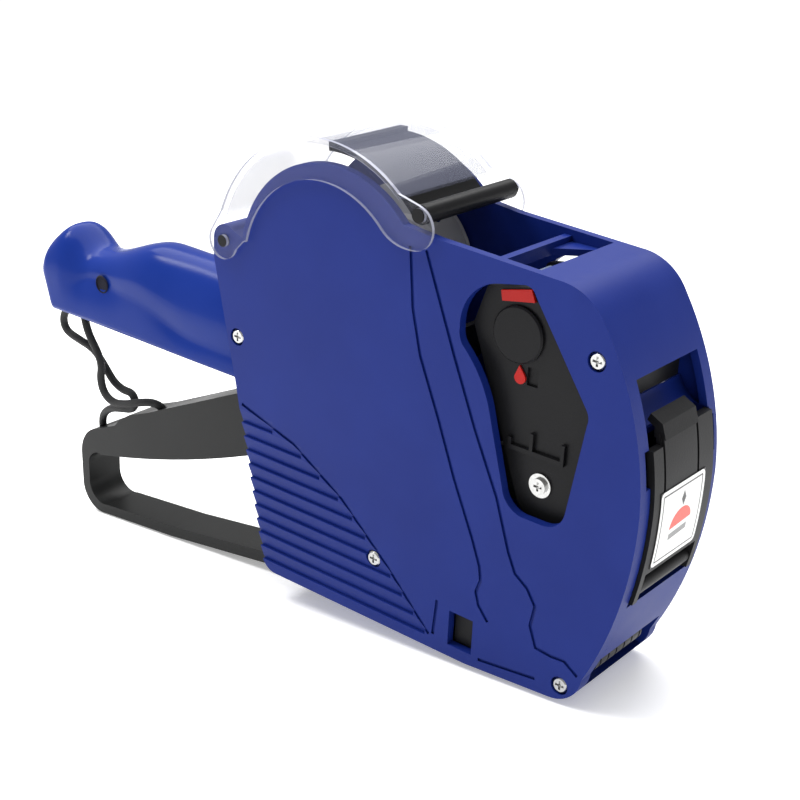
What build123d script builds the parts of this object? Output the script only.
from build123d import *
import os
from math import cos, pi, radians, sin, tan

# Hand-held price labeling gun: nose towards +X, handle towards -X, Z up, Y across.

os.makedirs("parts", exist_ok=True)

# ---- driving dimensions, millimetres ----
HALF = 16.5  # half of the body's width
WALL = 2.2  # side walls
RIM = 2.0  # wall that runs round the side outline
SEAM = -12.5  # plane where the right side cover meets the deep left shell
INNER = HALF - WALL  # inner face of each side wall
GAP = 0.3  # clearance between parts that pass each other
FIT = 0.05  # radial clearance of a running fit

PIVOT = (-12.0, 46.0)  # trigger pivot, (x, z)
COVER_HINGE = (-32.8, 87.5)
ROLL = (1.9, 83.8)  # centre of the label roll and of the round body top
COVER_CENTRE = (0.0, 83.8)
SELECTOR = (54.0, 85.0)
FRONT_HINGE = (87.2, 34.0)
BOTTOM_HINGE = (67.4, 3.2)
SPROCKET = (38.0, 19.0)
INK = (80.9, 40.0)
NOSE = (76.8, 10.6)
PAWL = (27.0, 46.5)
ROD = (28.6, 107.2)
HEAD_SCREW = (62.8, 51.4)
LANYARD = (-107.5, 56.0)
SPRING = (8.0, 0.0)  # x and y of the return spring

SQUEEZE = 18.0  # trigger travel, degrees

TRIGGER_HALF = 6.0  # half width of the trigger loop
HANDLE_HALF = 11.2
HANDLE_WALL = 2.4
YOKE_IN, YOKE_OUT = 9.0, 10.6
HEAD_OUT = 12.4  # outer faces of the print head's side plates


def side(y):
    """Side-view sketch plane at y: local x is X, local y is Z, extrusions run towards -Y."""
    return Plane.XZ.offset(-y)


def save(shape, name):
    shape.label = name
    export_step(shape, f"parts/{name}.step")


def turned(point, angle, pivot=PIVOT):
    """A side-view point after the trigger body turns nose-down by angle degrees."""
    x, z = point[0] - pivot[0], point[1] - pivot[1]
    c, s = cos(radians(angle)), sin(radians(angle))
    return (pivot[0] + x * c + z * s, pivot[1] - x * s + z * c)


def shaft(centre, radius, y_low, y_high):
    """A round bar along Y, as a private solid."""
    bar = Cylinder(radius, y_high - y_low, rotation=(90, 0, 0), mode=Mode.PRIVATE)
    return Pos(centre[0], (y_low + y_high) / 2, centre[1]) * bar


def block(x, y, z):
    """A box between two limits on each axis, as a private solid."""
    box = Box(x[1] - x[0], y[1] - y[0], z[1] - z[0], mode=Mode.PRIVATE)
    return Pos((x[0] + x[1]) / 2, (y[0] + y[1]) / 2, (z[0] + z[1]) / 2) * box


# ---- side outline of the body, shared by both housings ----
def body_outline(inset=0):
    """Closed side outline of the body from the rear of the deck, moved inwards by inset."""
    with BuildSketch() as outline:
        with BuildLine():
            l1 = Line((33.4, 102.7), (65.5, 101.1))
            l2 = ThreePointArc(l1 @ 1, (73.0, 99.0), (77.8, 94.0))
            l3 = ThreePointArc(l2 @ 1, (86.4, 76.4), (90.4, 55.0))
            l4 = ThreePointArc(l3 @ 1, (88.0, 31.4), (80.6, 10.0))
            l5 = ThreePointArc(l4 @ 1, (78.2, 4.6), (72.5, 1.9))
            l6 = Line(l5 @ 1, (48.0, 0.0))
            l7 = Line(l6 @ 1, (-14.5, 0.0))
            l8 = ThreePointArc(l7 @ 1, (-17.8, 1.2), (-19.4, 4.2))
            l9 = Line(l8 @ 1, (-29.3, 50.5))
            l10 = Line(l9 @ 1, (-36.9, 82.5))
            l11 = Line(l10 @ 1, (-36.9, 87.5))
            l12 = ThreePointArc(l11 @ 1, (-34.4, 91.2), (-30.0, 90.5))
            l13 = Line(l12 @ 1, (-26.9, 89.4))
            l14 = ThreePointArc(l13 @ 1, (1.9, 113.3), (23.6, 103.8))
            Line(l14 @ 1, l1 @ 0)
        make_face()
        if inset:
            offset(amount=-inset, kind=Kind.INTERSECTION)
    return outline.sketch


def kidney_window():
    """Side window that shows the print head and gives room to its knob."""
    with BuildSketch() as window:
        with BuildLine():
            k1 = ThreePointArc((40.8, 84.0), (43.2, 92.3), (50.6, 96.7))
            k2 = Line(k1 @ 1, (57.0, 98.0))
            k3 = ThreePointArc(k2 @ 1, (58.9, 97.7), (60.2, 96.2))
            k4 = Line(k3 @ 1, (75.0, 74.8))
            k5 = ThreePointArc(k4 @ 1, (75.7, 73.2), (75.6, 71.4))
            k6 = Line(k5 @ 1, (72.2, 49.0))
            k7 = ThreePointArc(k6 @ 1, (70.3, 45.6), (66.4, 44.2))
            k8 = Line(k7 @ 1, (61.2, 44.2))
            k9 = ThreePointArc(k8 @ 1, (57.3, 45.8), (55.2, 49.6))
            k10 = Line(k9 @ 1, (50.6, 65.6))
            k11 = ThreePointArc(k10 @ 1, (47.4, 73.4), (42.2, 79.9))
            ThreePointArc(k11 @ 1, (41.0, 81.8), k1 @ 0)
        make_face()
    return window.sketch


LATCH_WINDOW = ((42.8, 49.9), (3.2, 12.5))
SCREWS = [(-28.7, 62.9), (18.6, 17.2), (76.4, 86.0), (75.0, 6.0)]
GROOVES = [
    [(30.4, 99.5), (39.7, 77.2), (46.9, 60.9), (54.0, 46.6), (58.3, 34.3), (60.6, 29.6),
     (64.2, 27.1), (66.7, 23.4), (65.8, 18.0), (67.8, 13.0), (72.0, 12.6), (75.6, 12.9),
     (79.4, 10.4)],
    [(25.9, 99.5), (27.4, 85.0), (30.1, 74.5), (36.6, 59.9), (41.8, 47.2), (48.0, 34.0),
     (50.6, 27.6), (51.2, 24.0), (50.1, 20.6), (51.1, 17.4), (54.0, 14.0)],
    [(52.0, 2.9), (68.3, 4.9)],
    [(39.0, 13.8), (38.2, 4.0)],
    [(-27.0, 45.0), (-8.8, 39.6), (7.9, 29.9), (23.5, 16.7), (37.0, 3.6)],
]
STEP_EDGE = GROOVES[-1]  # where the steps of the lower corner end
GROOVE_WIDTH = 0.9
GROOVE_DEPTH = 0.55
RIBS = 11
RIB_PITCH = 3.7
RIB_TOP = 43.6
RIB_DEPTH = 0.75


def groove_faces():
    """Thin strips along the decorative grooves of the side face."""
    with BuildSketch() as strips:
        for route in GROOVES:
            with BuildLine(mode=Mode.PRIVATE) as line:
                Polyline(*route)
            trace(line.line, line_width=GROOVE_WIDTH)
    return strips.sketch


def step_end(z):
    """x at which the step at height z ends: along the slanting groove."""
    for (x_a, z_a), (x_b, z_b) in zip(STEP_EDGE, STEP_EDGE[1:]):
        if z >= z_b:
            break
    return x_a + (x_b - x_a) * (z - z_a) / (z_b - z_a)


def rib_wedges(sign):
    """Louvre-like steps of the rear lower corner, on the side that sign names."""
    wedges = []
    for i in range(RIBS):
        top = RIB_TOP - i * RIB_PITCH
        low = top - RIB_PITCH
        x_end = step_end((top + low) / 2)
        with BuildPart(mode=Mode.PRIVATE) as wedge:
            with BuildSketch(Plane.YZ.offset(-45)):
                with BuildLine():
                    Polyline(
                        (sign * (HALF + 1), top - 0.25),
                        (sign * HALF, top - 0.25),
                        (sign * (HALF - RIB_DEPTH), low),
                        (sign * (HALF + 1), low),
                        close=True,
                    )
                make_face()
            extrude(amount=x_end + 45)
        wedges.append(wedge.part)
    return wedges


MOUTH_Z = (70.5, 83.0)
COVER_Z = (30.0, 70.5)
COVER_Y = (SEAM, 13.5)
TAB_Z = (60.0, 68.5)
NOSE_Z = (5.0, 14.6)
BOTTOM_X = (38.0, 69.9)
DECK_X = (-26.9, 59.5)
REAR_HALF = 8.0
MOUTH_FAR = 13.0
PIN_R = 2.5  # trigger pin
PIN_BOSS = 4.6
SHAFT_R = 2.0  # sprocket shaft
HUB_R = 3.0

# ---- left housing: deep shell with deck, front wall, floor and far side wall ----
with BuildPart() as left_housing:
    with BuildSketch(side(HALF)):
        add(body_outline())
    extrude(amount=HALF - SEAM)
    with BuildSketch(side(INNER)):
        add(body_outline(RIM))
    extrude(amount=INNER - SEAM, mode=Mode.SUBTRACT)
    # screw posts, grown from the far wall up to the seam
    for centre in SCREWS[:3]:
        add(shaft(centre, 3.0, SEAM, INNER + 0.5))
    with BuildSketch(side(-9.8)):
        with Locations((75.1, 5.4)):
            Rectangle(5.0, 6.4)
        add(body_outline(0.3), mode=Mode.INTERSECT)
    extrude(amount=-9.8 - SEAM)
    # bosses for the trigger pin, the sprocket shaft and the front cover's pivot
    add(shaft(PIVOT, PIN_BOSS, YOKE_OUT + GAP, INNER + 0.5))
    add(shaft(SPROCKET, 4.0, 11.5, INNER + 0.5))
    with BuildSketch(side(INNER + 0.5)):
        with Locations(FRONT_HINGE):
            Circle(2.4)
        add(body_outline(0.8), mode=Mode.INTERSECT)
    extrude(amount=1.3)
    # blue crossbar under the deck, with its far gusset
    add(block((46.4, 48.4), (SEAM, INNER + 0.5), (97.6, 100.6)))
    with BuildSketch(Plane.XY.offset(97.6)):
        Polygon((48.3, 6.4), (58.5, INNER + 0.4), (48.3, INNER + 0.4), align=None)
    extrude(amount=1.6)
    # curved hood behind the mouth, over the ink roller
    with BuildSketch(side(INNER + 0.5)):
        with BuildLine():
            Line((86.8, 70.4), (86.8, 68.9))
            ThreePointArc((86.8, 68.9), (81.8, 70.2), (78.3, 74.8))
            Line((78.3, 74.8), (79.8, 75.6))
            ThreePointArc((79.8, 75.6), (82.6, 71.8), (86.8, 70.4))
        make_face()
    extrude(amount=INNER + 0.5 - SEAM)
    # open top: label roll chamber and deck opening in one run
    add(block(DECK_X, (SEAM, INNER), (100.6, 125)), mode=Mode.SUBTRACT)
    add(block((DECK_X[0], 46.4), (SEAM, INNER), (88, 101)), mode=Mode.SUBTRACT)
    add(block((48.4, DECK_X[1]), (SEAM, INNER), (99.25, 101)), mode=Mode.SUBTRACT)
    add(block((84.3, 95), (SEAM, MOUTH_FAR), (MOUTH_Z[0], 76)), mode=Mode.SUBTRACT)
    add(block((80, 95), (SEAM, MOUTH_FAR), (76, MOUTH_Z[1])), mode=Mode.SUBTRACT)
    add(block((84.5, 95), COVER_Y, COVER_Z), mode=Mode.SUBTRACT)
    add(block((84.5, 95), (13, 15.2), TAB_Z), mode=Mode.SUBTRACT)
    add(block((77.8, 95), (SEAM, 13.5), NOSE_Z), mode=Mode.SUBTRACT)
    add(block((73.4, 79), (-9.7, 13.5), NOSE_Z), mode=Mode.SUBTRACT)
    add(block(BOTTOM_X, (SEAM, INNER), (-1, 5)), mode=Mode.SUBTRACT)
    add(block((-40, -8), (-REAR_HALF, REAR_HALF), (-1, 56)), mode=Mode.SUBTRACT)
    add(block((-40, -3.5), (-REAR_HALF, REAR_HALF), (-1, 3)), mode=Mode.SUBTRACT)
    add(shaft(NOSE, 1.05, -12.5, 15.0), mode=Mode.SUBTRACT)
    with BuildSketch(side(HALF + 1)):
        add(kidney_window())
    extrude(amount=WALL + 1.5, mode=Mode.SUBTRACT)
    add(block(LATCH_WINDOW[0], (INNER - 1, HALF + 1), LATCH_WINDOW[1]), mode=Mode.SUBTRACT)
    with BuildSketch(side(HALF + 1)):
        add(groove_faces())
    extrude(amount=1 + GROOVE_DEPTH, mode=Mode.SUBTRACT)
    for wedge in rib_wedges(1):
        add(wedge, mode=Mode.SUBTRACT)
    for centre in SCREWS:
        add(shaft(centre, 1.0, SEAM - 1, -1.0), mode=Mode.SUBTRACT)
    add(shaft(PIVOT, PIN_R + 0.02, 5, HALF - 0.8), mode=Mode.SUBTRACT)
    add(shaft(SPROCKET, SHAFT_R + 0.02, 5, HALF - 0.8), mode=Mode.SUBTRACT)
    add(shaft(ROLL, HUB_R + FIT, 5, HALF - 0.8), mode=Mode.SUBTRACT)
    add(shaft(BOTTOM_HINGE, 1.5 + FIT, 5, HALF - 0.8), mode=Mode.SUBTRACT)
    add(shaft(FRONT_HINGE, 0.9 + FIT, 5, HALF - 0.8), mode=Mode.SUBTRACT)
    add(shaft(COVER_HINGE, 1.5, 13.5, HALF + 1), mode=Mode.SUBTRACT)
save(left_housing.part, "left_housing")

# ---- right housing: flat side cover with a rim ----
with BuildPart() as right_housing:
    with BuildSketch(side(SEAM)):
        add(body_outline())
    extrude(amount=HALF + SEAM)
    with BuildSketch(side(SEAM)):
        add(body_outline(RIM))
    extrude(amount=INNER + SEAM, mode=Mode.SUBTRACT)
    for centre in SCREWS:
        add(shaft(centre, 2.8, -INNER - 0.5, SEAM))
    add(shaft(PIVOT, PIN_BOSS, -INNER - 0.5, -YOKE_OUT - GAP))
    add(shaft(SPROCKET, 4.0, -INNER - 0.5, -11.5))
    with BuildSketch(side(SEAM)):
        with Locations(FRONT_HINGE):
            Circle(2.4)
        add(body_outline(0.8), mode=Mode.INTERSECT)
    extrude(amount=INNER + SEAM + 0.5)
    add(block(DECK_X, (-INNER, SEAM + 1), (88, 125)), mode=Mode.SUBTRACT)
    add(block((84.5, 95), (-14.2, SEAM + 1), TAB_Z), mode=Mode.SUBTRACT)
    add(block(BOTTOM_X, (-INNER, SEAM + 1), (-1, 5)), mode=Mode.SUBTRACT)
    with BuildSketch(side(-INNER + 1)):
        add(kidney_window())
    extrude(amount=WALL + 2, mode=Mode.SUBTRACT)
    add(block(LATCH_WINDOW[0], (-HALF - 1, 1 - INNER), LATCH_WINDOW[1]), mode=Mode.SUBTRACT)
    with BuildSketch(side(GROOVE_DEPTH - HALF)):
        add(groove_faces())
    extrude(amount=1 + GROOVE_DEPTH, mode=Mode.SUBTRACT)
    for wedge in rib_wedges(-1):
        add(wedge, mode=Mode.SUBTRACT)
    for centre in SCREWS:
        add(shaft(centre, 1.3, -HALF - 1, SEAM + 1), mode=Mode.SUBTRACT)
        add(shaft(centre, 2.3, -HALF - 1, 1.3 - HALF), mode=Mode.SUBTRACT)
    add(shaft(PIVOT, PIN_R + 0.02, 0.8 - HALF, -5), mode=Mode.SUBTRACT)
    add(shaft(SPROCKET, SHAFT_R + 0.02, 0.8 - HALF, -5), mode=Mode.SUBTRACT)
    add(shaft(ROLL, HUB_R + FIT, 0.8 - HALF, -5), mode=Mode.SUBTRACT)
    add(shaft(BOTTOM_HINGE, 1.5 + FIT, 0.8 - HALF, -5), mode=Mode.SUBTRACT)
    add(shaft(FRONT_HINGE, 0.9 + FIT, 0.8 - HALF, -5), mode=Mode.SUBTRACT)
    add(shaft(COVER_HINGE, 1.5, -HALF - 1, -13.5), mode=Mode.SUBTRACT)
save(right_housing.part, "right_housing")


# ---- screws ----
def cross_screw(centre, head_top, head_low, tip, head_r=1.95, shank_r=0.97):
    """A cross-head screw along Y whose head faces -Y."""
    with BuildPart(mode=Mode.PRIVATE) as screw:
        add(shaft(centre, head_r, head_top, head_low))
        chamfer(screw.edges().sort_by(Axis.Y)[0], length=0.35)
        add(shaft(centre, shank_r, head_low, tip))
        middle = (centre[0], centre[1])
        for reach_x, reach_z in ((1.15, 0.28), (0.28, 1.15)):
            slot = block(
                (middle[0] - reach_x, middle[0] + reach_x),
                (head_top - 1, head_top + 0.6),
                (middle[1] - reach_z, middle[1] + reach_z),
            )
            add(slot, mode=Mode.SUBTRACT)
    return screw.part


with BuildPart() as housing_screws:
    for centre in SCREWS:
        add(cross_screw(centre, -HALF + 0.15, -HALF + 1.3, -1.5))
save(housing_screws.part, "housing_screws")

# ---- handle: two glossy halves, open along the bottom ----
HANDLE_LOW = 48.0
HANDLE_SCREW = (-89.5, 60.2)


def handle_outline(inset=0):
    """Side outline of the grip, running on into the body where it is cut off."""
    with BuildSketch() as outline:
        with BuildLine():
            h1 = Line((-20, HANDLE_LOW), (-113.6, HANDLE_LOW))
            h2 = Spline(
                h1 @ 1,
                (-118.4, 58.6),
                (-114.6, 67.8),
                (-106.8, 71.3),
                (-98.8, 68.6),
                (-86.0, 71.2),
                (-66.0, 74.6),
                (-46.0, 74.4),
                (-20.0, 72.5),
                tangents=[(-0.25, 1), (1, -0.1)],
            )
            Line(h2 @ 1, h1 @ 0)
        make_face()
        if inset:
            offset(amount=-inset, kind=Kind.INTERSECTION)
    return outline.sketch


def grip_section(half, shoulder, crown):
    """Arched cross-section of the grip, looking along the handle."""
    with BuildSketch() as section:
        with BuildLine():
            Line((-half, 40), (half, 40))
            Line((half, 40), (half, shoulder))
            ThreePointArc((half, shoulder), (0.68 * half, crown - 4.2), (0, crown))
            ThreePointArc((0, crown), (-0.68 * half, crown - 4.2), (-half, shoulder))
            Line((-half, shoulder), (-half, 40))
        make_face()
    return section.sketch


channel = HANDLE_HALF - HANDLE_WALL
with BuildPart() as grip:
    with BuildSketch(side(HANDLE_HALF)):
        add(handle_outline())
    extrude(amount=2 * HANDLE_HALF)
    with BuildSketch(Plane.YZ.offset(-125)):
        add(grip_section(HANDLE_HALF, 61, 75.2))
    extrude(amount=110, mode=Mode.INTERSECT)
    # rounded rear corners seen from above
    with BuildSketch(Plane.XY.offset(30)):
        with Locations((-69, 0)):
            RectangleRounded(2 * 50.4, 2 * HANDLE_HALF, 8)
    extrude(amount=60, mode=Mode.INTERSECT)
    with BuildSketch(side(20)):
        add(body_outline())
    extrude(amount=40, mode=Mode.SUBTRACT)

with BuildPart() as grip_hollow:
    with BuildSketch(side(channel)):
        Polygon(
            (-110.6, 40),
            (-110.6, 56.0),
            (-111.6, 63.0),
            (-106.6, 67.2),
            (-98.6, 65.0),
            (-86.0, 67.4),
            (-66.0, 70.6),
            (-46.0, 70.6),
            (-20.0, 69.0),
            (-20.0, 40),
            align=None,
        )
    extrude(amount=2 * channel)
    with BuildSketch(Plane.YZ.offset(-125)):
        add(grip_section(channel, 59, 71.6))
    extrude(amount=110, mode=Mode.INTERSECT)

with BuildPart() as handle_right:
    add(grip.part)
    add(grip_hollow.part, mode=Mode.SUBTRACT)
    add(block((-130, 0), (0, 20), (30, 90)), mode=Mode.SUBTRACT)
    add(shaft(HANDLE_SCREW, 3.2, -channel - 0.5, -5.5))
    add(shaft(HANDLE_SCREW, 2.2, -20, -7.0), mode=Mode.SUBTRACT)
    add(shaft(HANDLE_SCREW, 1.3, -8, -4), mode=Mode.SUBTRACT)
save(handle_right.part, "handle_right")

with BuildPart() as handle_left:
    add(grip.part)
    add(grip_hollow.part, mode=Mode.SUBTRACT)
    add(block((-130, 0), (-20, 0), (30, 90)), mode=Mode.SUBTRACT)
    add(shaft(HANDLE_SCREW, 3.2, -5.5, channel + 0.5))
    add(shaft(HANDLE_SCREW, 1.0, -6, 3), mode=Mode.SUBTRACT)
save(handle_left.part, "handle_left")

save(cross_screw(HANDLE_SCREW, -8.2, -7.0, 2.5), "handle_screw")
with BuildPart() as lanyard_post:
    add(shaft(LANYARD, 2.0, -channel, channel))
save(lanyard_post.part, "lanyard_post")

# ---- wrist cord: one limp loop, both ends in the handle, middle run through the trigger ----
CORD_R = 1.15
CORD_ROUTE = (
    (-107.6, -5.4, 53.4),
    (-109.0, -5.2, 48.0),
    (-113.0, -5.0, 43.8),
    (-112.0, -5.0, 39.4),
    (-106.4, -4.8, 38.0),
    (-99.8, -4.6, 36.8),
    (-95.4, -4.6, 32.8),
    (-91.6, -4.6, 28.8),
    (-87.4, -4.7, 27.4),
    (-83.4, -4.9, 27.8),
    (-81.8, -5.0, 26.2),
    (-81.8, -5.2, 24.0),
    (-83.4, -5.3, 22.6),
    (-87.2, -5.4, 21.8),
    (-92.0, -4.9, 20.4),
    (-96.6, -3.8, 17.6),
    (-99.4, -2.8, 14.2),
    (-99.6, -2.4, 9.8),
    (-96.2, -2.4, 7.4),
    (-90.4, -2.4, 9.8),
    (-83.2, -2.4, 13.6),
    (-76.2, -2.4, 16.6),
    (-72.2, -2.4, 20.4),
    (-71.8, -2.4, 25.2),
    (-73.4, -5.4, 28.0),
    (-77.8, -7.8, 27.2),
    (-82.6, -8.4, 25.4),
    (-87.6, -8.4, 24.4),
    (-91.6, -8.3, 26.2),
    (-93.2, -8.1, 30.4),
    (-92.6, -7.8, 34.4),
    (-94.8, -7.5, 38.2),
    (-98.4, -7.2, 41.8),
    (-101.2, -6.6, 46.6),
    (-104.6, -4.6, 52.6),
)


def route_radii(points):
    """Largest bend at each inner corner: 0.45 of the shorter run over tan(half turn)."""
    radii = []
    for a, b, c in zip(points, points[1:], points[2:]):
        first = Vector(*b) - Vector(*a)
        second = Vector(*c) - Vector(*b)
        half = radians(first.get_angle(second)) / 2
        radii.append(0.45 * min(first.length, second.length) / tan(half))
    return radii


def cord_tube(radius):
    """Tube of the given radius along the cord's route, and the route's length."""
    with BuildPart() as tube:
        with BuildLine() as route:
            FilletPolyline(*CORD_ROUTE, radius=route_radii(CORD_ROUTE))
        with BuildSketch(Plane(origin=route.line @ 0, z_dir=route.line % 0)):
            Circle(radius)
        sweep(path=route.line)
    return tube.part, sum(edge.length for edge in route.line.edges())


cord_part, route_length = cord_tube(CORD_R)
save(cord_part, "cord")
print("cord radii", [round(r, 1) for r in route_radii(CORD_ROUTE)])
print("cord length", round(route_length, 1))
print("cord volume", round(cord_part.volume, 1), "expected", round(pi * CORD_R**2 * route_length, 1))

# ---- trigger: one closed loop lever, its hub and its tongue ----
with BuildPart() as trigger:
    with BuildSketch(side(TRIGGER_HALF)):
        with BuildLine():
            t1 = Polyline((-15.0, 51.7), (-40.4, 40.6), (-76.1, 23.9), (-83.5, 21.0))
            t2 = Polyline(t1 @ 1, (-88.0, 18.0), (-90.0, 15.6), (-97.5, 12.2))
            t3 = ThreePointArc(t2 @ 1, (-103.8, 8.2), (-105.8, 1.5))
            t4 = Line(t3 @ 1, (-105.6, -7.0))
            t5 = ThreePointArc(t4 @ 1, (-102.8, -13.6), (-96.0, -15.4))
            t6 = Polyline(t5 @ 1, (-66.0, -12.2), (-29.2, -6.6), (-13.0, -3.6))
            t7 = ThreePointArc(t6 @ 1, (-7.4, -0.6), (-6.0, 5.0))
            t8 = Polyline(t7 @ 1, (-6.0, 44.0), (-15.0, 51.7))
        make_face()
        with Locations(PIVOT):
            Circle(6.4)
        with BuildLine() as window:
            w1 = ThreePointArc((-96.6, 3.9), (-70.0, 11.2), (-24.0, 29.0))
            w2 = ThreePointArc(w1 @ 1, (-18.4, 27.8), (-16.6, 22.5))
            w3 = Line(w2 @ 1, (-13.4, 2.8))
            w4 = ThreePointArc(w3 @ 1, (-14.4, 0.6), (-18.0, -1.4))
            w5 = Polyline(w4 @ 1, (-33.1, -3.7), (-64.9, -8.8), (-94.6, -12.2))
            w6 = ThreePointArc(w5 @ 1, (-100.6, -11.0), (-102.6, -6.0))
            w7 = Line(w6 @ 1, (-102.6, -1.0))
            ThreePointArc(w7 @ 1, (-101.2, 2.6), (-96.6, 3.9))
        make_face(mode=Mode.SUBTRACT)
    extrude(amount=2 * TRIGGER_HALF)
    add(block((-8, 15), (-TRIGGER_HALF, TRIGGER_HALF), (47, 50.5)))
    add(shaft(PIVOT, PIN_R + FIT, -10, 10), mode=Mode.SUBTRACT)
    add(cord_tube(CORD_R + GAP)[0], mode=Mode.SUBTRACT)
save(trigger.part, "trigger")

with BuildPart() as trigger_pin:
    add(shaft(PIVOT, PIN_R, -15.6, 15.6))
save(trigger_pin.part, "trigger_pin")

# ---- yoke: carries the print head on the trigger ----
with BuildPart() as lever_yoke:
    for y in (YOKE_OUT, -YOKE_IN):
        with BuildSketch(side(y)):
            with BuildSketch(mode=Mode.PRIVATE) as ends:
                with Locations(PIVOT, HEAD_SCREW):
                    Circle(6.2)
            add(make_hull(ends.sketch.edges(), mode=Mode.PRIVATE))
        extrude(amount=YOKE_OUT - YOKE_IN)
    add(block((-2, 16), (-YOKE_OUT, YOKE_OUT), (44.4, 47)))
    add(shaft(PIVOT, PIN_R + FIT, -14, 14), mode=Mode.SUBTRACT)
    add(shaft(HEAD_SCREW, 1.2, -14, 14), mode=Mode.SUBTRACT)
save(lever_yoke.part, "lever_yoke")

# ---- print head ----
BAND_END = turned((63.0, 15.8), -SQUEEZE)  # lower loop of the type bands, at rest


def head_outline():
    """Side outline of the print head's plates."""
    with BuildSketch() as plate:
        Polygon(
            (44.8, 94.2),
            (58.5, 96.6),
            (64.5, 92.6),
            (76.2, 73.8),
            (75.0, 69.5),
            (74.6, 46.0),
            (74.0, 40.6),
            (64.5, 37.4),
            (57.0, 45.0),
            (46.6, 72.0),
            (41.6, 84.6),
            align=None,
        )
        fillet(plate.vertices(), radius=1.2)
    return plate.sketch


with BuildPart() as head_plate_right:
    with BuildSketch(side(-YOKE_OUT)):
        add(head_outline())
    extrude(amount=HEAD_OUT - YOKE_OUT)
    # raised ribs and the selector's recess on the face seen through the window
    rib_y = (-HEAD_OUT - 0.9, -HEAD_OUT + 0.2)
    add(block((53.6, 68.6), rib_y, (58.0, 59.1)))
    add(block((53.6, 54.5), rib_y, (58.6, 60.8)))
    add(block((59.4, 60.3), rib_y, (58.6, 63.2)))
    add(block((67.7, 68.6), rib_y, (58.6, 63.0)))
    add(block((56.9, 59.8), (-HEAD_OUT - 1, -HEAD_OUT + 0.7), (73.9, 78.2)), mode=Mode.SUBTRACT)
    add(shaft(SELECTOR, 2.1, -11.6, -10), mode=Mode.SUBTRACT)
    add(shaft(HEAD_SCREW, 1.25, -14, -10), mode=Mode.SUBTRACT)
save(head_plate_right.part, "head_plate_right")

with BuildPart() as head_plate_left:
    with BuildSketch(side(HEAD_OUT)):
        add(head_outline())
    extrude(amount=HEAD_OUT - YOKE_OUT)
    add(shaft(SELECTOR, 2.1, 10, 14), mode=Mode.SUBTRACT)
    add(shaft(HEAD_SCREW, 1.25, 10, 14), mode=Mode.SUBTRACT)
save(head_plate_left.part, "head_plate_left")

with BuildPart() as head_bridge:
    add(block((45.6, 49.6), (-YOKE_OUT, YOKE_OUT), (90.0, 93.6)))
save(head_bridge.part, "head_bridge")

with BuildPart() as head_stay:
    add(block((51.8, 54.0), (-YOKE_OUT, YOKE_OUT), (60.0, 66.0)))
save(head_stay.part, "head_stay")

with BuildPart() as print_bar:
    add(shaft(BAND_END, 2.15, -YOKE_OUT, YOKE_OUT))
save(print_bar.part, "print_bar")

BANDS = 8
BAND_PITCH = 2.15
BAND_WIDTH = 1.9
WHEEL_R = 5.3


def band_loop(top_r, end_r):
    """Tight loop round the selector wheel and the print bar."""
    with BuildSketch() as loop:
        with BuildSketch(mode=Mode.PRIVATE) as ends:
            with Locations(SELECTOR):
                Circle(top_r)
            with Locations(BAND_END):
                Circle(end_r)
        add(make_hull(ends.sketch.edges(), mode=Mode.PRIVATE))
    return loop.sketch


def band_y(i):
    return (i - (BANDS - 1) / 2) * BAND_PITCH


with BuildPart() as type_bands:
    for i in range(BANDS):
        with BuildSketch(side(band_y(i) + BAND_WIDTH / 2)):
            add(band_loop(6.2, 3.0))
            add(band_loop(5.4, 2.2), mode=Mode.SUBTRACT)
        extrude(amount=BAND_WIDTH)
save(type_bands.part, "type_bands")

for i in range(BANDS):
    with BuildPart() as band_wheel:
        low = band_y(i) - BAND_WIDTH / 2
        add(shaft(SELECTOR, WHEEL_R, low, low + BAND_WIDTH))
        add(shaft(SELECTOR, 2.1, low - 1, low + BAND_WIDTH + 1), mode=Mode.SUBTRACT)
    save(band_wheel.part, f"band_wheel_{i + 1}")

with BuildPart() as digit_lens:
    add(block((50.4, 60.0), (-YOKE_OUT, YOKE_OUT), (92.4, 94.8)))
    chamfer(digit_lens.edges().filter_by(Axis.Y).group_by(Axis.Z)[-1], length=0.8)
save(digit_lens.part, "digit_lens")

with BuildPart() as selector_shaft:
    add(shaft(SELECTOR, 2.0, -10.4, 15.5))
save(selector_shaft.part, "selector_shaft")

with BuildPart() as selector_knob:
    add(shaft(SELECTOR, 6.8, HEAD_OUT + GAP, 21.0))
    chamfer(selector_knob.edges().sort_by(Axis.Y)[-1], length=0.8)
    for angle in range(0, 360, 20):
        grip_x = SELECTOR[0] + 7.2 * cos(radians(angle))
        grip_z = SELECTOR[1] + 7.2 * sin(radians(angle))
        add(shaft((grip_x, grip_z), 0.8, 14.0, 22.0), mode=Mode.SUBTRACT)
    add(shaft(SELECTOR, 2.0 + FIT, 10, 15.55), mode=Mode.SUBTRACT)
save(selector_knob.part, "selector_knob")

with BuildPart() as selector_cap:
    add(shaft(SELECTOR, 6.6, -13.4, -HEAD_OUT))
    chamfer(selector_cap.edges().sort_by(Axis.Y)[0], length=0.4)
save(selector_cap.part, "selector_cap")

with BuildPart() as column_pointer:
    with BuildSketch(side(-HEAD_OUT)):
        Polygon((48.7, 94.0), (56.6, 95.9), (57.8, 93.3), (49.2, 91.7), align=None)
    extrude(amount=0.6)
save(column_pointer.part, "column_pointer")

with BuildPart() as digit_pointer:
    with BuildSketch(side(-HEAD_OUT)):
        with BuildLine():
            Line((53.8, 75.4), (54.9, 78.1))
            Line((54.9, 78.1), (56.5, 76.0))
            ThreePointArc((56.5, 76.0), (55.3, 73.8), (53.8, 75.4))
        make_face()
    extrude(amount=0.5)
save(digit_pointer.part, "digit_pointer")

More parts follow.
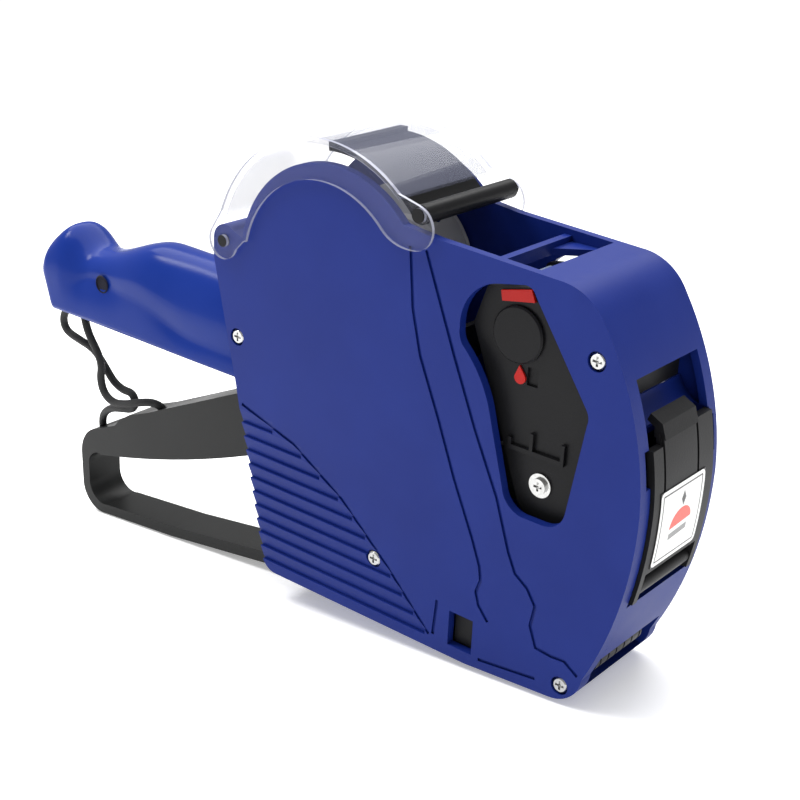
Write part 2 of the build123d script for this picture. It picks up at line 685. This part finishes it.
with BuildPart() as head_screws:
    for sign in (-1, 1):
        inner, washer, top = sign * HEAD_OUT, sign * (HEAD_OUT + 0.5), sign * (HEAD_OUT + 1.3)
        add(shaft(HEAD_SCREW, 2.9, min(inner, washer), max(inner, washer)))
        add(shaft(HEAD_SCREW, 1.9, min(washer, top), max(washer, top)))
        add(shaft(HEAD_SCREW, 1.15, min(inner, sign * 9.2), max(inner, sign * 9.2)))
        for reach_x, reach_z in ((1.1, 0.28), (0.28, 1.1)):
            slot = block(
                (HEAD_SCREW[0] - reach_x, HEAD_SCREW[0] + reach_x),
                (min(sign * 13.2, sign * 15), max(sign * 13.2, sign * 15)),
                (HEAD_SCREW[1] - reach_z, HEAD_SCREW[1] + reach_z),
            )
            add(slot, mode=Mode.SUBTRACT)
save(head_screws.part, "head_screws")


# ---- feed: toothed drum, its shaft and the pawl ----
with BuildPart() as feed_sprocket:
    add(shaft(SPROCKET, 9.6, -6, 6))
    for row in (-4.0, 4.0):
        add(shaft(SPROCKET, 8.4, row - 0.5, row + 0.5), mode=Mode.SUBTRACT)
    for i in range(12):
        tip = Plane.XZ.offset(0.8)
        with BuildSketch(tip):
            with Locations(SPROCKET):
                with PolarLocations(9.2, 1, start_angle=30 * i):
                    Polygon((0, -1.5), (2.2, -0.3), (2.2, 0.3), (0, 1.5), align=None)
        extrude(amount=-1.6)
    add(shaft(SPROCKET, SHAFT_R + FIT, -7, 7), mode=Mode.SUBTRACT)
save(feed_sprocket.part, "feed_sprocket")

with BuildPart() as feed_shaft:
    add(shaft(SPROCKET, SHAFT_R, -15.6, 15.6))
save(feed_shaft.part, "feed_shaft")

with BuildPart() as pawl_pin:
    add(shaft(PAWL, 1.4, -YOKE_IN, YOKE_IN))
save(pawl_pin.part, "pawl_pin")

with BuildPart() as feed_pawl:
    add(shaft(PAWL, 3.0, -3, 3))
    with BuildSketch(side(3)):
        Polygon((24.2, 46.0), (29.6, 45.0), (29.6, 33.8), (28.4, 33.0), (26.4, 37.0), align=None)
    extrude(amount=6)
    add(shaft(PAWL, 1.4 + FIT, -5, 5), mode=Mode.SUBTRACT)
save(feed_pawl.part, "feed_pawl")

# ---- return spring between the floor and the yoke ----
SPRING_R = 3.4
SPRING_WIRE = 0.55
with BuildPart() as return_spring:
    with BuildLine(Plane.XY.offset(3.1)) as coil:
        Helix(pitch=4.5, height=40.5, radius=SPRING_R)
    with BuildSketch(Plane(origin=coil.line @ 0, z_dir=coil.line % 0)):
        Circle(SPRING_WIRE)
    sweep(path=coil.line, is_frenet=True)
spring_part = Pos(SPRING[0], SPRING[1], 0) * return_spring.part
save(spring_part, "return_spring")

# ---- platen and peel plate under the print head ----
with BuildPart() as platen:
    add(block((54.0, 71.5), (-13.9, 13.9), (9.2, 12.0)))
    chamfer(platen.edges().filter_by(Axis.Y).group_by(Axis.Z)[-1], length=0.6)
save(platen.part, "platen")

# ---- nose: backing roller, its axle and the black lip ----
with BuildPart() as nose_axle:
    add(shaft(NOSE, 1.0, -12.4, 14.8))
save(nose_axle.part, "nose_axle")

with BuildPart() as nose_roller:
    add(shaft(NOSE, 3.2, -9.2, 10.6))
    for i in range(6):
        groove_y = -7.4 + 3.4 * i
        with BuildSketch(side(groove_y + 0.3)):
            with Locations(NOSE):
                Circle(3.4)
                Circle(2.9, mode=Mode.SUBTRACT)
        extrude(amount=0.6, mode=Mode.SUBTRACT)
    add(shaft(NOSE, 1.0 + FIT, -15, 15), mode=Mode.SUBTRACT)
save(nose_roller.part, "nose_roller")

# ---- label roll hubs and the tray under the roll ----
for name, sign in (("roll_hub_right", -1), ("roll_hub_left", 1)):
    with BuildPart() as roll_hub:
        for radius, near, far in ((HUB_R, 13.8, 15.5), (20, 12.6, 13.8), (12.2, 9.6, 12.6)):
            add(shaft(ROLL, radius, min(sign * near, sign * far), max(sign * near, sign * far)))
        for angle in range(0, 360, 60):
            hole = (ROLL[0] + 16 * cos(radians(angle)), ROLL[1] + 16 * sin(radians(angle)))
            add(shaft(hole, 2.2, -16, 16), mode=Mode.SUBTRACT)
    save(roll_hub.part, name)


def ring_sector(centre, outer, inner, start, sweep_angle):
    """Part of a flat ring in the side view."""
    with BuildSketch() as sector:
        with BuildLine():
            a1 = CenterArc(centre, outer, start, sweep_angle)
            a2 = CenterArc(centre, inner, start, sweep_angle)
            Line(a1 @ 0, a2 @ 0)
            Line(a1 @ 1, a2 @ 1)
        make_face()
    return sector.sketch


with BuildPart() as roll_tray:
    with BuildSketch(side(13.9)):
        add(ring_sector(ROLL, 30.0, 28.8, 188, 108))
    extrude(amount=27.8)
save(roll_tray.part, "roll_tray")

with BuildPart() as front_tray:
    with BuildSketch(side(13.9)):
        add(ring_sector(ROLL, 30.0, 28.8, 306, 42))
    extrude(amount=27.8)
save(front_tray.part, "front_tray")

# ---- clear roll cover ----
COVER_R = 35.2
with BuildPart() as roll_cover:
    with BuildSketch(side(17.2)):
        add(ring_sector(COVER_CENTRE, COVER_R, COVER_R - 1.5, 49, 113))
    extrude(amount=34.4)
    for y in (17.65, -16.8):
        with BuildSketch(side(y)):
            add(ring_sector(COVER_CENTRE, COVER_R, 25.3, 44, 124))
            with BuildLine():
                f1 = Spline((17.4, 102.3), (19.2, 100.6), (22.6, 99.1), (27.4, 98.8))
                f2 = ThreePointArc(f1 @ 1, (32.6, 104.4), (28.4, 109.4))
                f3 = Line(f2 @ 1, (22.4, 110.9))
                Line(f3 @ 1, f1 @ 0)
            make_face()
            with Locations(COVER_HINGE):
                Circle(4.6)
            with BuildLine():
                r1 = Polyline((-33.2, 95.4), (-37.0, 89.4), (-31.4, 83.2), (-24.6, 90.0), (-33.2, 95.4))
            make_face()
            with Locations(COVER_HINGE):
                Circle(1.55, mode=Mode.SUBTRACT)
            with Locations(ROD):
                Circle(1.7, mode=Mode.SUBTRACT)
        extrude(amount=0.85)
save(roll_cover.part, "roll_cover")

with BuildPart() as cover_rod:
    add(shaft(ROD, 2.3, -16.75, 16.75))
    add(shaft(ROD, 1.65, -18.0, 18.0))
save(cover_rod.part, "cover_rod")

with BuildPart() as cover_pins:
    for sign in (-1, 1):
        add(shaft(COVER_HINGE, 1.5, min(sign * 13.8, sign * 17.7), max(sign * 13.8, sign * 17.7)))
save(cover_pins.part, "cover_pins")

with BuildPart() as roll_leaf:
    with BuildSketch(side(13)):
        add(ring_sector(COVER_CENTRE, 32.6, 31.5, 40, 54))
        add(ring_sector(COVER_CENTRE, COVER_R - 1.52, 31.5, 90, 4))
    extrude(amount=26)
save(roll_leaf.part, "roll_leaf")

# ---- black front cover with its label, hinge pin and ink roller ----
FRONT_Y = (-12.2, 13.2)
with BuildPart() as front_cover:
    with BuildSketch(side(FRONT_Y[1])):
        add(body_outline(-0.9))
        add(body_outline(0.9), mode=Mode.SUBTRACT)
        with BuildSketch(mode=Mode.PRIVATE) as zone:
            Polygon((84, 31), (95, 31), (95, 70.2), (84, 70.2), align=None)
        add(zone.sketch, mode=Mode.INTERSECT)
    extrude(amount=FRONT_Y[1] - FRONT_Y[0])
    add(block((84, 95), (-10.4, 11.4), (30, 38.4)), mode=Mode.SUBTRACT)
    with BuildSketch(side(FRONT_Y[1])):
        with Locations(FRONT_HINGE):
            Circle(2.0)
    extrude(amount=FRONT_Y[1] - FRONT_Y[0])
    add(block((84, 95), (FRONT_Y[0] - 1, -7.9), (68.2, 72)), mode=Mode.SUBTRACT)
    with BuildSketch(side(6.1)):
        Polygon(
            (87.0, 69.6),
            (89.9, 69.6),
            (88.7, 73.0),
            (85.6, 74.6),
            (84.9, 73.0),
            (86.9, 71.8),
            align=None,
        )
    extrude(amount=14.0)
    for y in (-7.9, 6.4):
        with BuildSketch(side(y + 0.4)):
            add(body_outline(-1.2))
            add(body_outline(-0.1), mode=Mode.SUBTRACT)
            with BuildSketch(mode=Mode.PRIVATE) as zone:
                Polygon((85, 57), (95, 57), (95, 71), (85, 71), align=None)
            add(zone.sketch, mode=Mode.INTERSECT)
        extrude(amount=0.8, mode=Mode.SUBTRACT)
    add(shaft(FRONT_HINGE, 0.9 + FIT, -14, 14), mode=Mode.SUBTRACT)
save(front_cover.part, "front_cover")

with BuildPart() as mouth_liner:
    with BuildSketch(side(13.0)):
        Polygon((82.2, 47.8), (83.4, 47.8), (83.4, 69.2), (82.2, 69.6), align=None)
    extrude(amount=25.2)
save(mouth_liner.part, "mouth_liner")

with BuildPart() as mouth_screen:
    add(block((79.0, 79.9), (-12.2, 13.0), (76.0, 82.8)))
save(mouth_screen.part, "mouth_screen")

with BuildPart() as front_hinge_pin:
    add(shaft(FRONT_HINGE, 0.9, -15.6, 15.6))
save(front_hinge_pin.part, "front_hinge_pin")

with BuildPart() as front_label:
    with BuildSketch(side(9.5)):
        add(body_outline(-1.1))
        add(body_outline(-0.9), mode=Mode.SUBTRACT)
        with BuildSketch(mode=Mode.PRIVATE) as zone:
            Polygon((84, 39.6), (95, 39.6), (95, 58), (84, 58), align=None)
        add(zone.sketch, mode=Mode.INTERSECT)
    extrude(amount=19)
save(front_label.part, "front_label")

with BuildPart() as ink_carrier:
    for y in (11.8, -10.4):
        with BuildSketch(side(y)):
            with Locations(INK):
                Circle(2.3)
            Polygon((81.0, 37.7), (87.4, 37.0), (88.2, 43.0), (81.0, 42.3), align=None)
        extrude(amount=1.4)
    add(block((87.2, 88.2), (-11.8, 11.8), (38.0, 43.0)))
    with BuildSketch(side(20)):
        add(body_outline(0.9))
    extrude(amount=40, mode=Mode.INTERSECT)
    add(shaft(INK, 0.85, -14, 14), mode=Mode.SUBTRACT)
save(ink_carrier.part, "ink_carrier")

with BuildPart() as ink_axle:
    add(shaft(INK, 0.85, -11.8, 11.8))
save(ink_axle.part, "ink_axle")

with BuildPart() as ink_roller:
    add(shaft(INK, 5.6, -9.9, 9.9))
    add(shaft(INK, 0.85 + FIT, -12, 12), mode=Mode.SUBTRACT)
save(ink_roller.part, "ink_roller")

# ---- drop-down bottom cover and its two latch buttons ----
with BuildPart() as bottom_cover:
    with BuildSketch(side(14.0)):
        add(body_outline())
        with BuildSketch(mode=Mode.PRIVATE) as zone:
            Polygon((38.4, -1), (67.4, -1), (67.4, 2.4), (38.4, 2.4), align=None)
        add(zone.sketch, mode=Mode.INTERSECT)
        with Locations(BOTTOM_HINGE):
            Circle(2.1)
    extrude(amount=28)
    add(shaft(BOTTOM_HINGE, 1.5, -15.5, 15.5))
    for y in ((-10.2, -9.2), (9.2, 10.2)):
        add(block((43.4, 49.3), y, (2, 9.5)))
save(bottom_cover.part, "bottom_cover")

for name, sign in (("latch_button_right", -1), ("latch_button_left", 1)):
    with BuildPart() as latch_button:
        add(block((43.2, 49.5), (min(sign * 12.6, sign * 14.2), max(sign * 12.6, sign * 14.2)), (3.5, 12.2)))
        chamfer(latch_button.edges().filter_by(Axis.Y), length=0.6)
        add(block((44.0, 48.7), (min(sign * 12.0, sign * 12.6), max(sign * 12.0, sign * 12.6)), (2.7, 11.0)))
    save(latch_button.part, name)
